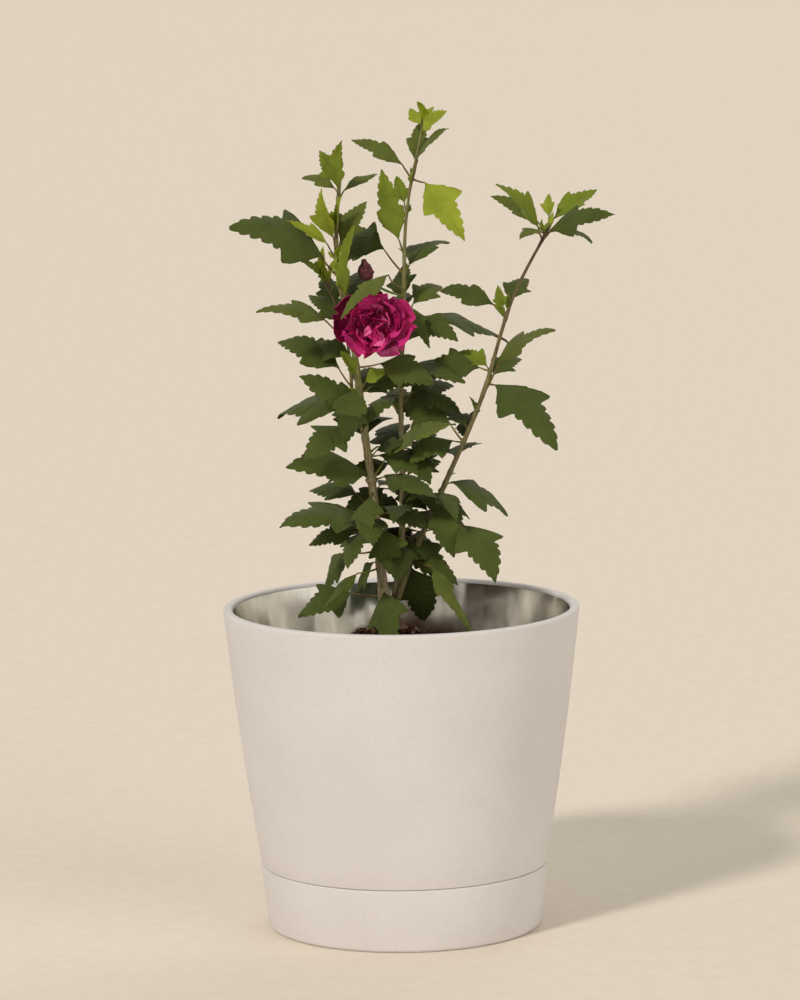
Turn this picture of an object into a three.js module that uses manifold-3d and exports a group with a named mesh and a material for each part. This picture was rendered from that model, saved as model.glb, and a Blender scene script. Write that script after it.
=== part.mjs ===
// A young hibiscus shrub in a tapered planter that stands in its own saucer.
// Millimetres, +Z up. The origin is the centre of the saucer's flat underside,
// the shrub's best side looks along -Y, and bearings turn from +X towards +Y.
import * as THREE from 'three';
import { mergeVertices } from 'three/addons/utils/BufferGeometryUtils.js';
import Module from 'manifold-3d';

const GAP = 0.3; // clearance between neighbouring pieces
const ROUND_SIDES = 28; // facets round the planter, the saucer and the soil

// Planter: a straight flared side that steps out over the saucer at its foot.
const RIM_TOP = 272;
const RIM_RADIUS = 150;
const RIM_WALL = 8;
const SEAM_TOP = 54;
const SEAM_RADIUS = 121;
const SIDE_SWELL = 1.6; // how far the side bows out between the seam and the rim
const FOOT_INSET = 5; // step in from the side to the part that sits in the saucer
const FLOOR_TOP = 22;

// Saucer: a shallow dish whose lip meets the step of the planter.
const SAUCER_FOOT_RADIUS = 115.5;
const SAUCER_LIP_RADIUS = 121.6;
const SAUCER_WALL = 4;

// Potting mix: a low bed with a mound where the root ball stands proud.
const BED_TOP = 218;
const MOUND_RISE = 34;
const MOUND_CREST = 22; // radius of the mound's flat top
const MOUND_FOOT = 70; // radius where the mound meets the bed
const STEM_FOOT = new THREE.Vector2(-10, 0);
const GROUND = BED_TOP + MOUND_RISE;

// Woody foot: from a flat cut on the mound up to where the stems part.
const FOOT_TOP = 280;
const FOOT_RADIUS = 7;
const FOOT_FLARE = 6;

// Stems: a short route each, with the radius at the foot and at the tip.
const stems = {
  left: { foot: 4.6, tip: 1.3, sides: 8, look: 'greyBark', route: [
    [-14, -2, 274], [-22, -7, 365], [-30, -11, 430], [-36, -12, 485], [-50, -9, 565], [-46, -5, 642]] },
  middle: { foot: 3, tip: 1, sides: 6, look: 'greyBark', route: [
    [-6, 5, 274], [1, 9, 325], [2, 13, 443], [5, 14, 530], [9, 12, 605], [24, 9, 678]] },
  right: { foot: 2.8, tip: 1.1, sides: 6, look: 'brownBark', route: [
    [-3, 0, 278], [12, 3, 317], [38, 0, 375], [69, -6, 447], [96, -13, 532], [127, -18, 592]] },
  twig: { foot: 1.8, tip: 0.9, sides: 5, look: 'brownBark', route: [
    [-28, -10, 414], [-38, -6, 446], [-40, -4, 475], [-45, -2, 510], [-61, -4, 548]] },
};

// Leaves: each row is height on the stem, bearing, rise of the blade above level,
// length of the blade, length of its stalk and, for a narrow blade, its slimness.
// A spray is one mass of foliage, and the sprays of a stem follow each other upwards.
const sprays = {
  left_skirt: { stem: 'left', leaves: [
    [285, 280, -50, 60, 5], [280, 200, -20, 50, 30, 1.15], [305, 220, -35, 50, 25, 0.5],
    [310, 125, -50, 40, 10]] },
  left_base: { stem: 'left', leaves: [
    [340, 205, 0, 80, 10], [340, 245, -35, 45, 20], [320, 135, -50, 50, 35], [340, 310, -60, 50, 5],
    [330, 70, -20, 60, 20]] },
  left_low: { stem: 'left', leaves: [
    [355, 145, 0, 50, 20], [380, 205, 10, 75, 5], [380, 320, -15, 60, 15],
    [380, 335, 25, 70, 25, 0.8]] },
  left_centre: { stem: 'left', leaves: [
    [400, 95, 15, 65, 20], [435, 145, -10, 75, 15], [425, 225, -25, 55, 20], [415, 180, 35, 20, 10],
    [425, 185, 35, 60, 10]] },
  left_waist: { stem: 'left', leaves: [
    [450, 155, 20, 60, 30], [460, 210, 55, 25, 10], [475, 345, -20, 50, 20],
    [460, 255, -50, 50, 10]] },
  left_middle: { stem: 'left', leaves: [
    [495, 205, 10, 65, 30, 0.65], [505, 80, 20, 55, 15]] },
  left_upper: { stem: 'left', leaves: [
    [550, 195, 20, 85, 20], [525, 290, 70, 65, 10, 0.45], [545, 60, 30, 50, 20]] },
  left_shoots: { stem: 'left', leaves: [
    [565, 250, 60, 50, 20, 0.65], [565, 185, 30, 40, 15, 0.5], [580, 285, 60, 35, 10, 0.6],
    [570, 10, 55, 40, 10]] },
  left_tip: { stem: 'left', leaves: [
    [615, 280, 65, 45, 10, 0.7], [620, 135, 10, 40, 5, 0.5], [615, 45, 15, 40, 10, 0.5],
    [625, 200, 60, 30, 5]] },
  twig_tip: { stem: 'twig', leaves: [
    [545, 210, 35, 30, 5], [535, 125, 50, 20, 10], [520, 110, 25, 40, 10]] },
  middle_base: { stem: 'middle', leaves: [
    [325, 50, -30, 50, 5], [325, 270, -35, 40, 15], [305, 65, -60, 60, 20],
    [315, 310, -45, 70, 40, 0.35]] },
  middle_low: { stem: 'middle', leaves: [
    [380, 50, 5, 45, 5], [345, 300, 40, 35, 10], [390, 100, 10, 55, 20], [360, 350, -20, 50, 10]] },
  middle_heart: { stem: 'middle', leaves: [
    [430, 130, 15, 50, 25], [475, 80, 15, 55, 20], [470, 320, -10, 60, 10]] },
  middle_flank: { stem: 'middle', leaves: [
    [520, 85, 40, 40, 10], [510, 50, 15, 40, 20], [525, 300, -40, 50, 5, 0.5],
    [510, 20, -20, 80, 20, 0.8]] },
  middle_upper: { stem: 'middle', leaves: [
    [565, 150, 75, 60, 15, 0.8], [550, 135, 10, 50, 30], [600, 120, 60, 25, 10],
    [550, 50, 15, 55, 10]] },
  middle_crown: { stem: 'middle', leaves: [
    [625, 320, 40, 45, 20], [640, 70, 60, 40, 5, 0.8], [630, 145, 20, 55, 15, 0.5],
    [630, 315, -45, 65, 15, 0.75]] },
  middle_tip: { stem: 'middle', leaves: [
    [670, 125, 40, 20, 5], [665, 325, 35, 30, 5], [675, 250, 50, 20, 5], [670, 50, 45, 20, 5]] },
  right_low: { stem: 'right', leaves: [
    [375, 30, -30, 65, 5], [365, 285, -55, 55, 10], [350, 305, -40, 65, 40], [385, 75, 0, 55, 20]] },
  right_heart: { stem: 'right', leaves: [
    [435, 100, -35, 45, 10], [410, 150, 20, 55, 20]] },
  right_flank: { stem: 'right', leaves: [
    [455, 335, 30, 60, 25, 0.9], [450, 50, 15, 40, 20],
    [460, 315, -35, 85, 10, 0.9], [470, 175, -10, 50, 10]] },
  right_upper: { stem: 'right', leaves: [
    [515, 145, 10, 55, 15, 0.6], [515, 230, 70, 20, 10], [520, 60, 25, 35, 10]] },
  right_tip: { stem: 'right', leaves: [
    [580, 205, 45, 55, 10, 0.9], [585, 150, 25, 50, 10, 0.55], [590, 85, 65, 20, 10],
    [585, 35, 25, 50, 15, 0.6], [580, 335, 15, 60, 10, 0.6], [585, 35, -15, 45, 5, 0.6]] },
};
const STALK_RADIUS = 1.4;
const STALK_SEAT = 0.2; // share of the blade's length that its stalk runs under
const STALK_LIFT = 30; // a leaf stalk climbs this much more steeply than its blade
const LEAF_ARCH = 0.1; // rise of the blade's middle over its chord, per length
const PAD_RADIUS = 3.6; // half the thickness of a leaf pad at its middle
const CORE_WALL = 2; // thickness of the stalks and buds clustered round the stem
const CORE_END = 3; // how far that cluster reaches past the first and last leaf
const LIGHT = new THREE.Vector3(-0.2, -0.6, 0.8); // leaves face this way

// One side of a three-lobed leaf: along and across, as shares of its length.
const leafOutline = [[0, 0], [0.36, 0.35], [0.53, 0.21], [1, 0]];
const LEAF_MIDDLE = 0.42;

// Double bloom and closed bud, on short stalks from the middle stem.
const BLOOM = { centre: [-19, -34, 512], half: [34, 21, 27], stalkHeight: 488, stalkRadius: 1.6,
  ruffle: 0.07, detail: 1 };
const BUD = { centre: [-26, -16, 556], half: [6.5, 6.5, 8.5], stalkHeight: 532, stalkRadius: 1.1,
  ruffle: 0, detail: 0 };

const looks = {
  creamPlastic: { color: '#d9d0c5', roughness: 0.6, metalness: 0 },
  pottingMix: { color: '#33210f', roughness: 1, metalness: 0 },
  greyBark: { color: '#8f7c62', roughness: 0.85, metalness: 0 },
  brownBark: { color: '#5c4a33', roughness: 0.8, metalness: 0 },
  darkLeaf: { color: '#42532a', roughness: 0.6, metalness: 0 },
  youngLeaf: { color: '#7d9422', roughness: 0.55, metalness: 0 },
  magentaPetal: { color: '#b52a6c', roughness: 0.6, metalness: 0 },
  budScale: { color: '#4a2a30', roughness: 0.7, metalness: 0 },
};
const youngSprays = ['left_tip', 'left_shoots', 'middle_tip', 'middle_crown', 'right_tip'];

const wasm = await Module();
wasm.setup();

// A closed geometry as a solid that can be joined and cut.
function solidOf(geometry) {
  const bare = geometry.clone();
  bare.deleteAttribute('normal');
  bare.deleteAttribute('uv');
  const merged = mergeVertices(bare, 1e-3);
  const corners = merged.index.array;
  const kept = [];
  for (let i = 0; i < corners.length; i += 3) {
    const [a, b, c] = [corners[i], corners[i + 1], corners[i + 2]];
    if (a !== b && b !== c && c !== a) kept.push(a, b, c);
  }
  const vertProperties = new Float32Array(merged.attributes.position.array);
  const triVerts = new Uint32Array(kept);
  return new wasm.Manifold(new wasm.Mesh({ numProp: 3, vertProperties, triVerts }));
}

function geometryOf(solid) {
  const mesh = solid.getMesh();
  const geometry = new THREE.BufferGeometry();
  geometry.setAttribute('position', new THREE.BufferAttribute(mesh.vertProperties, 3));
  geometry.setIndex(new THREE.BufferAttribute(mesh.triVerts, 1));
  geometry.computeVertexNormals();
  return geometry;
}

// Moves every corner of a geometry to where place(x, y, z) puts it.
function reshape(geometry, place) {
  const corners = geometry.attributes.position;
  for (let i = 0; i < corners.count; i += 1) {
    const corner = place(corners.getX(i), corners.getY(i), corners.getZ(i));
    corners.setXYZ(i, corner.x, corner.y, corner.z);
  }
  return geometry;
}

// A profile of [radius, height] points, from the axis round to the axis, turned about +Z.
function turned(profile) {
  const points = profile.map(([radius, height]) => new THREE.Vector2(radius, height));
  return new THREE.LatheGeometry(points, ROUND_SIDES).rotateX(Math.PI / 2);
}

function onStem(route, height) {
  let low = 0;
  let high = 1;
  for (let step = 0; step < 24; step += 1) {
    const middle = (low + high) / 2;
    if (route.getPoint(middle).z < height) low = middle;
    else high = middle;
  }
  return route.getPoint(low);
}

// The taper of a stem, by height.
function stemRadius({ route, foot, tip }, height) {
  const bottom = route[0][2];
  const top = route[route.length - 1][2];
  const share = THREE.MathUtils.clamp((height - bottom) / (top - bottom), 0, 1);
  return THREE.MathUtils.lerp(foot, tip, share ** 0.8);
}

// A round limb along a route, its radius told by height, longer by grow at both ends.
function limb(route, radiusAt, grow, sides, steps) {
  const chord = route.getPoint(1).sub(route.getPoint(0)).normalize();
  const guide = Math.abs(chord.z) > 0.8 ? new THREE.Vector3(1, 0, 0) : new THREE.Vector3(0, 0, 1);
  return reshape(new THREE.CylinderGeometry(1, 1, 1, sides, steps), (x, y, z) => {
    const share = y + 0.5;
    const ahead = route.getTangentAt(share);
    const side = guide.clone().addScaledVector(ahead, -guide.dot(ahead)).normalize();
    const up = new THREE.Vector3().crossVectors(side, ahead);
    const spot = route.getPointAt(share);
    const radius = radiusAt(spot.z) + grow;
    const overrun = Math.round(y * 2) * grow;
    return spot.addScaledVector(ahead, overrun)
      .addScaledVector(side, x * radius).addScaledVector(up, z * radius);
  });
}

function direction(bearing, rise) {
  const turn = THREE.MathUtils.degToRad(bearing);
  const lift = THREE.MathUtils.degToRad(rise);
  const level = Math.cos(lift);
  return new THREE.Vector3(Math.cos(turn) * level, Math.sin(turn) * level, Math.sin(lift));
}

// The side of a leaf that is turned to the light.
function facingOf(along) {
  return LIGHT.clone().addScaledVector(along, -LIGHT.dot(along)).normalize();
}

// How far a leaf's middle line stands above its chord, at a share of its length.
function archAt(length, share) {
  return LEAF_ARCH * length * 4 * share * (1 - share);
}

// A leaf as a thin three-lobed pad that faces the light, arched along its midrib.
function leafPad(foot, along, length, slim, grow) {
  const facing = facingOf(along);
  const across = new THREE.Vector3().crossVectors(along, facing);
  const reach = length + 2 * grow;
  const sides = (leafOutline.length - 1) * 2;
  return reshape(new THREE.SphereGeometry(1, sides, 2), (x, y, z) => {
    const onRim = Math.abs(y) < 0.5;
    const index = Math.round((1 - Math.atan2(Math.abs(z), x) / Math.PI) * (leafOutline.length - 1));
    const [share, width] = onRim ? leafOutline[index] : [LEAF_MIDDLE, 0];
    const lift = archAt(length, share) + (onRim ? 0 : y * (PAD_RADIUS + grow * 1.5));
    return foot.clone().addScaledVector(along, share * reach - grow)
      .addScaledVector(across, Math.sign(z) * (width * slim * reach + (width > 0 ? grow : 0)))
      .addScaledVector(facing, lift);
  });
}

// A mass of foliage: pads and stalks joined by a core that follows the stem.
function spray({ stem, leaves }, grow) {
  const { curve } = stems[stem];
  const heights = leaves.map(([height]) => height);
  const middle = (Math.min(...heights) + Math.max(...heights)) / 2;
  const half = (Math.max(...heights) - Math.min(...heights)) / 2 + CORE_END;
  const core = new THREE.CylinderGeometry(1, 1, 2, 4, Math.ceil(half / 20));
  let mass = solidOf(reshape(core, (x, y, z) => {
    const centre = onStem(curve, middle + y * (half + grow));
    const radius = stemRadius(stems[stem], centre.z) + CORE_WALL + grow;
    return centre.add(new THREE.Vector3(x * radius, -z * radius, 0));
  }));
  leaves.forEach(([height, bearing, rise, length, stalk, slim = 1]) => {
    const start = onStem(curve, height);
    const climb = THREE.MathUtils.clamp(rise + STALK_LIFT, -10, 70);
    const foot = start.clone().addScaledVector(direction(bearing, climb), stalk);
    const along = direction(bearing, rise);
    const seat = foot.clone().addScaledVector(along, STALK_SEAT * length)
      .addScaledVector(facingOf(along), archAt(length, STALK_SEAT));
    const stalkLine = new THREE.LineCurve3(start, seat);
    mass = mass.add(solidOf(limb(stalkLine, () => STALK_RADIUS, grow, 3, 1)));
    mass = mass.add(solidOf(leafPad(foot, along, length, slim, grow)));
  });
  return mass;
}

// A bloom or bud: an uneven ball on a stalk that starts at the middle stem.
function blossom({ centre, half, stalkHeight, stalkRadius, ruffle, detail }, grow) {
  const middle = new THREE.Vector3(...centre);
  const ball = reshape(new THREE.IcosahedronGeometry(1, detail), (x, y, z) => {
    const swell = 1 + ruffle * Math.sin(6 * Math.atan2(z, x)) * (1 - y * y);
    return new THREE.Vector3(x * half[0], y * half[1], z * half[2]).multiplyScalar(swell)
      .addScaledVector(new THREE.Vector3(x, y, z), grow).add(middle);
  });
  const stalkLine = new THREE.LineCurve3(onStem(stems.middle.curve, stalkHeight), middle);
  return solidOf(ball).add(solidOf(limb(stalkLine, () => stalkRadius, grow, 4, 1)));
}

// The planter's inner wall is parallel to its side, one rim wall in.
function innerRadius(height) {
  const flare = (RIM_RADIUS - SEAM_RADIUS) / (RIM_TOP - SEAM_TOP);
  return RIM_RADIUS - RIM_WALL - (RIM_TOP - height) * flare;
}

function planter() {
  const side = [0.33, 0.67].map((share) => [
    THREE.MathUtils.lerp(SEAM_RADIUS, RIM_RADIUS, share) + SIDE_SWELL * Math.sin(Math.PI * share),
    THREE.MathUtils.lerp(SEAM_TOP, RIM_TOP, share)]);
  const foot = SAUCER_WALL + GAP;
  return turned([[0, foot], [SAUCER_FOOT_RADIUS - FOOT_INSET, foot], [SEAM_RADIUS - FOOT_INSET, SEAM_TOP],
    [SEAM_RADIUS, SEAM_TOP], ...side, [RIM_RADIUS, RIM_TOP - 3], [RIM_RADIUS - 1, RIM_TOP - 1],
    [RIM_RADIUS - 3.5, RIM_TOP], [RIM_RADIUS - RIM_WALL + 2, RIM_TOP - 1],
    [RIM_RADIUS - RIM_WALL, RIM_TOP - 4], [innerRadius(FLOOR_TOP), FLOOR_TOP], [0, FLOOR_TOP]]);
}

function saucer() {
  const lip = SEAM_TOP - GAP;
  return turned([[0, 0], [SAUCER_FOOT_RADIUS - 2, 0], [SAUCER_FOOT_RADIUS, 2.5],
    [SAUCER_LIP_RADIUS, lip - 1], [SAUCER_LIP_RADIUS - 0.8, lip], [SAUCER_LIP_RADIUS - SAUCER_WALL, lip],
    [SAUCER_FOOT_RADIUS - SAUCER_WALL, SAUCER_WALL], [0, SAUCER_WALL]]);
}

function pottingSoil(grow) {
  const bottom = FLOOR_TOP + GAP;
  const top = BED_TOP + grow;
  const rings = [1, 0.62, 0.48, 0.36, 0.24, 0.13, 0].map((share) => [
    share * (innerRadius(BED_TOP) - GAP), top]);
  const bed = turned([[0, bottom], [innerRadius(bottom) - GAP, bottom], ...rings]);
  return reshape(bed, (x, y, z) => {
    const reach = new THREE.Vector2(x, y).distanceTo(STEM_FOOT);
    const mound = MOUND_RISE * (1 - THREE.MathUtils.smoothstep(reach, MOUND_CREST, MOUND_FOOT));
    return new THREE.Vector3(x, y, z < top - 1 ? z : z + mound);
  });
}

// The foot flares to a flat cut on the mound, with three low root shoulders.
function woodyFoot(grow) {
  const base = new THREE.Vector3(STEM_FOOT.x, STEM_FOOT.y, GROUND + GAP);
  const height = FOOT_TOP - GROUND;
  return reshape(new THREE.CylinderGeometry(1, 1, 1, 12, 3), (x, y, z) => {
    const share = y + 0.5;
    const shoulder = 1 + 0.25 * Math.sin(3 * Math.atan2(z, x)) * (1 - share) ** 3;
    const radius = (FOOT_RADIUS + FOOT_FLARE * (1 - share) ** 3) * shoulder + grow;
    return new THREE.Vector3(x * radius, -z * radius, share * height + Math.round(y * 2) * grow).add(base);
  });
}

const shrub = new THREE.Group();

function addMesh(name, look, solid) {
  const mesh = new THREE.Mesh(geometryOf(solid), new THREE.MeshStandardMaterial(looks[look]));
  mesh.name = name;
  shrub.add(mesh);
}

let standing = null; // soil and plant so far, grown by the gap, which later pieces are cut round

// Adds a piece, cut round what already stands, as one body.
function addPiece(name, look, shapeAt) {
  const shape = shapeAt(0);
  const bodies = standing ? shape.subtract(standing).decompose() : [shape];
  bodies.sort((a, b) => b.volume() - a.volume());
  addMesh(name, look, bodies[0]);
  const grown = shapeAt(GAP);
  standing = standing ? standing.add(grown) : grown;
}

addMesh('saucer', 'creamPlastic', solidOf(saucer()));
addMesh('planter', 'creamPlastic', solidOf(planter()));
addPiece('soil', 'pottingMix', (grow) => solidOf(pottingSoil(grow)));
addPiece('foot', 'greyBark', (grow) => solidOf(woodyFoot(grow)));
for (const [name, stem] of Object.entries(stems)) {
  const points = stem.route.map((point) => new THREE.Vector3(...point));
  stem.curve = new THREE.CatmullRomCurve3(points, false, 'centripetal');
  const radiusAt = (height) => stemRadius(stem, height);
  addPiece(`stem_${name}`, stem.look, (grow) => solidOf(limb(stem.curve, radiusAt, grow, stem.sides, 8)));
}
addPiece('bloom', 'magentaPetal', (grow) => blossom(BLOOM, grow));
addPiece('bud', 'budScale', (grow) => blossom(BUD, grow));
for (const [name, each] of Object.entries(sprays)) {
  const look = youngSprays.includes(name) ? 'youngLeaf' : 'darkLeaf';
  addPiece(`foliage_${name}`, look, (grow) => spray(each, grow));
}

export default shrub;
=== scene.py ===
import math
import random

import bmesh
import bpy
import numpy as np
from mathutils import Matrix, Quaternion, Vector, noise


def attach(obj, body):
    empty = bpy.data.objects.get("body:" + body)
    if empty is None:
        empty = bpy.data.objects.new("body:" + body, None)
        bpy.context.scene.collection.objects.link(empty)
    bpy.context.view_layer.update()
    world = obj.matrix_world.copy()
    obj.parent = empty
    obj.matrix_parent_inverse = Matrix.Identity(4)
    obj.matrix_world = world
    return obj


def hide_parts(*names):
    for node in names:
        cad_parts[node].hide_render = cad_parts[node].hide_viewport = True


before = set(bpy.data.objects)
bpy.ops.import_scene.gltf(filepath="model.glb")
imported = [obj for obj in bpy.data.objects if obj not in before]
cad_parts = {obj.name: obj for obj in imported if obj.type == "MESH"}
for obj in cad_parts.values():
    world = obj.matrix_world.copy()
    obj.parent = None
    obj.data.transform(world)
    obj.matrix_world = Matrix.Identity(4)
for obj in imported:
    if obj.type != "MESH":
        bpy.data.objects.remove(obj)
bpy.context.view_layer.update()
MM = 0.001

# ---- Saucer ----
# The shallow round dish that the planter stands in, moulded in cream plastic with a
# faint pebble. Its wall leans out to a rounded lip that sits just proud of the planter.
SAUCER_FOOT = 115.5
SAUCER_LIP = 121.6
SAUCER_WALL = 4
SEAM = 54
GAP = 0.3  # clearance between the planter and the saucer
TURNED_SIDES = 144
RING_REACH = 0.25  # how near an edge's ends lie to a ring that it belongs to


def begin_turning(name, radius, height):
    """A disc across the axis, whose face is then pulled along a profile."""
    bpy.ops.object.select_all(action="DESELECT")
    bpy.ops.mesh.primitive_circle_add(vertices=TURNED_SIDES, radius=radius * MM, fill_type="NGON",
                                      location=(0, 0, height * MM))
    piece = bpy.context.object
    piece.name = name
    bpy.ops.object.transform_apply(location=True, rotation=False, scale=False)
    bpy.ops.object.mode_set(mode="EDIT")
    return piece


def pull(profile):
    """Extrudes the selected face through the profile's rings of radius and height."""
    for (radius, height), (new_radius, new_height) in zip(profile, profile[1:]):
        rise = (new_height - height) * MM
        bpy.ops.mesh.extrude_region_move(TRANSFORM_OT_translate={"value": (0, 0, rise)})
        bpy.ops.transform.resize(value=(new_radius / radius, new_radius / radius, 1))


def round_edges(piece, rings, width, steps):
    """Bevels the ring edges at the given radii and heights."""
    bpy.ops.mesh.select_mode(type="EDGE")
    bpy.ops.mesh.select_all(action="DESELECT")
    shape = bmesh.from_edit_mesh(piece.data)
    for edge in shape.edges:
        ends = [(end.co.xy.length / MM, end.co.z / MM) for end in edge.verts]
        edge.select = any(all(math.dist(end, ring) < RING_REACH for end in ends) for ring in rings)
    bmesh.update_edit_mesh(piece.data)
    bpy.ops.mesh.bevel(offset=width * MM, segments=steps, affect="EDGES")


def end_turning(piece):
    bpy.ops.mesh.select_all(action="SELECT")
    bpy.ops.mesh.normals_make_consistent(inside=False)
    bpy.ops.object.mode_set(mode="OBJECT")
    bpy.ops.object.shade_smooth_by_angle(angle=math.radians(35))


class Shade:
    """A value or colour in a material. Arithmetic on it adds Math nodes."""

    def __init__(self, tree, socket=None):
        self.tree = tree
        self.socket = socket

    def add(self, kind, settings=None, output=0, **inputs):
        """Adds a node: its settings first, then its sockets by name, or by place as i0, i1."""
        made = self.tree.nodes.new(kind)
        for key, value in (settings or {}).items():
            if key == "stops":
                ramp = made.color_ramp
                for _ in range(len(value) - 2):
                    ramp.elements.new(0.5)
                for stop, (place, colour) in zip(ramp.elements, value):
                    stop.position = place
                    stop.color = colour
            else:
                setattr(made, key, value)
        for key, value in inputs.items():
            socket = made.inputs[int(key[1:])] if key[1:].isdigit() else made.inputs[key.replace("_", " ")]
            if isinstance(value, Shade):
                self.tree.links.new(value.socket, socket)
            else:
                socket.default_value = value
        return Shade(self.tree, made.outputs[output])

    def math(self, operation, first, second):
        return self.add("ShaderNodeMath", {"operation": operation}, i0=first, i1=second)

    def __add__(self, other):
        return self.math("ADD", self, other)

    __radd__ = __add__

    def __sub__(self, other):
        return self.math("SUBTRACT", self, other)

    def __rsub__(self, other):
        return self.math("SUBTRACT", other, self)

    def __mul__(self, other):
        return self.math("MULTIPLY", self, other)

    __rmul__ = __mul__

    def mix(self, first, second):
        """Blends two colours by this value."""
        settings = {"data_type": "RGBA", "clamp_factor": True}
        return self.add("ShaderNodeMix", settings, 2, i0=self, i6=first, i7=second)

    def grain(self, scale, detail=3, stretch=(1, 1, 1)):
        """Noise on object coordinates, with its detail per metre."""
        place = self.add("ShaderNodeTexCoord", output=3)
        place = self.add("ShaderNodeMapping", Vector=place, Scale=stretch)
        return self.add("ShaderNodeTexNoise", Vector=place, Scale=scale, Detail=detail, Roughness=0.6)

    def ramp(self, low, high):
        """Stretches the span from low to high to 0 to 1."""
        settings = {"clamp": True}
        return self.add("ShaderNodeMapRange", settings, Value=self, From_Min=low, From_Max=high)


def paint(red, green, blue):
    """An 8-bit display colour as the linear colour that a shader takes."""
    def linear(value):
        share = value / 255
        return share / 12.92 if share <= 0.04045 else ((share + 0.055) / 1.055) ** 2.4
    return (linear(red), linear(green), linear(blue), 1)


def new_material(name, **fixed):
    """A material with constants on its shader, and a blank shade to build from."""
    look = bpy.data.materials.new(name)
    look.use_nodes = True
    surface = look.node_tree.nodes["Principled BSDF"]
    for key, value in fixed.items():
        surface.inputs[key.replace("_", " ")].default_value = value
    look.diffuse_color = surface.inputs["Base Color"].default_value
    return look, Shade(look.node_tree)


def wire(look, **inputs):
    """Links shades to the material's surface. relief is (height, distance) for a bump."""
    surface = look.node_tree.nodes["Principled BSDF"]
    for key, value in inputs.items():
        if key == "relief":
            height, distance = value
            key, value = "Normal", height.add("ShaderNodeBump", Height=height, Distance=distance, Strength=1)
        look.node_tree.links.new(value.socket, surface.inputs[key.replace("_", " ")])


CREAM = paint(213, 209, 209)
cream_plastic, shade = new_material("cream_plastic", Base_Color=CREAM, Roughness=0.55,
                                    Specular_IOR_Level=0.35)
cloudy = shade.grain(9, 4).ramp(0.3, 0.7)
speckle = shade.grain(420, 2).ramp(0.35, 0.65)
tint = cloudy.mix(paint(210, 206, 205), paint(217, 214, 214))
wire(cream_plastic, Base_Color=(speckle * 0.25).mix(tint, paint(197, 192, 189)),
     Roughness=0.5 + 0.12 * speckle,
     relief=(shade.grain(900, 3) + 0.6 * shade.grain(260, 2), 0.00012))

saucer_profile = [(SAUCER_FOOT - 2, 0), (SAUCER_FOOT, 2), (SAUCER_LIP, SEAM - GAP),
                  (SAUCER_LIP - SAUCER_WALL, SEAM - GAP), (SAUCER_FOOT - SAUCER_WALL, SAUCER_WALL)]
saucer = begin_turning("saucer_shell", *saucer_profile[0])
pull(saucer_profile)
round_edges(saucer, saucer_profile[:2], 1.1, 4)
round_edges(saucer, saucer_profile[2:4], 1.3, 3)
end_turning(saucer)
saucer.data.materials.append(cream_plastic)
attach(saucer, "root")
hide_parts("saucer")

# ---- Planter ----
# A tall tapered tub in the same plastic with a thick, softly rounded rim. Its foot is
# stepped in to drop into the saucer, and inside it is a darker, glossy moulded wall.
RIM_TOP = 272
RIM_RADIUS = 150
RIM_WALL = 8
SEAM_RADIUS = 121
SIDE_SWELL = 1.6
FLOOR_TOP = 22
SIDE_FLARE = (RIM_RADIUS - SEAM_RADIUS) / (RIM_TOP - SEAM)
FOOT_INSET = 5  # step in from the side to the part that sits in the saucer
WALL_MIDDLE = 160
GLOSS_DEPTH = 3  # the glossy wall begins this far below the rim's top


def wall_inside(height):
    return RIM_RADIUS - RIM_WALL - (RIM_TOP - height) * SIDE_FLARE


side_rings = [(SEAM_RADIUS + share * (RIM_RADIUS - SEAM_RADIUS) + SIDE_SWELL * math.sin(math.pi * share),
               SEAM + share * (RIM_TOP - SEAM)) for share in np.linspace(0, 1, 13)]
inner_rings = [(wall_inside(height), height) for height in (RIM_TOP - GLOSS_DEPTH, WALL_MIDDLE, FLOOR_TOP)]
planter_profile = [(SAUCER_FOOT - FOOT_INSET, SAUCER_WALL + GAP), (SEAM_RADIUS - FOOT_INSET, SEAM),
                   *side_rings, (RIM_RADIUS - RIM_WALL, RIM_TOP), *inner_rings]
planter = begin_turning("planter_shell", *planter_profile[0])
pull(planter_profile)
round_edges(planter, [side_rings[-1], (RIM_RADIUS - RIM_WALL, RIM_TOP)], 2.6, 5)
round_edges(planter, [side_rings[0]], 1.0, 3)
end_turning(planter)

glossy_wall, shade = new_material("glossy_inner_wall", Base_Color=paint(238, 234, 224), Metallic=1,
                                  Roughness=0.15)
film = shade.grain(30, 4, (1, 1, 0.3)).ramp(0.4, 0.75)
wire(glossy_wall, Base_Color=film.mix(paint(238, 236, 231), paint(214, 209, 200)),
     Roughness=0.1 + 0.14 * film, relief=(shade.grain(26, 2, (1, 1, 0.5)), 0.0009))
planter.data.materials.append(cream_plastic)
planter.data.materials.append(glossy_wall)
for face in planter.data.polygons:
    place = face.center
    inward = face.normal.xy.dot(place.xy) < 0 and face.normal.z < 0.5
    if inward and place.z < (RIM_TOP - GLOSS_DEPTH) * MM and place.z > FLOOR_TOP * MM:
        face.material_index = 1
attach(planter, "root")
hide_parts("planter")

# ---- Potting mix ----
# Dark crumbly compost, low in the tub and heaped where the nursery root ball stands
# proud of it. Bark chips, grit and dry fibres lie loose on top.
BED_TOP = 218
MOUND_RISE = 34
MOUND_CREST = 22
MOUND_FOOT = 70
STEM_FOOT = Vector((-10, 0))
CHIP_COUNT = 620
FIBRE_COUNT = 46


def smooth_step(value, low, high):
    share = min(1, max(0, (value - low) / (high - low)))
    return share * share * (3 - 2 * share)


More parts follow.
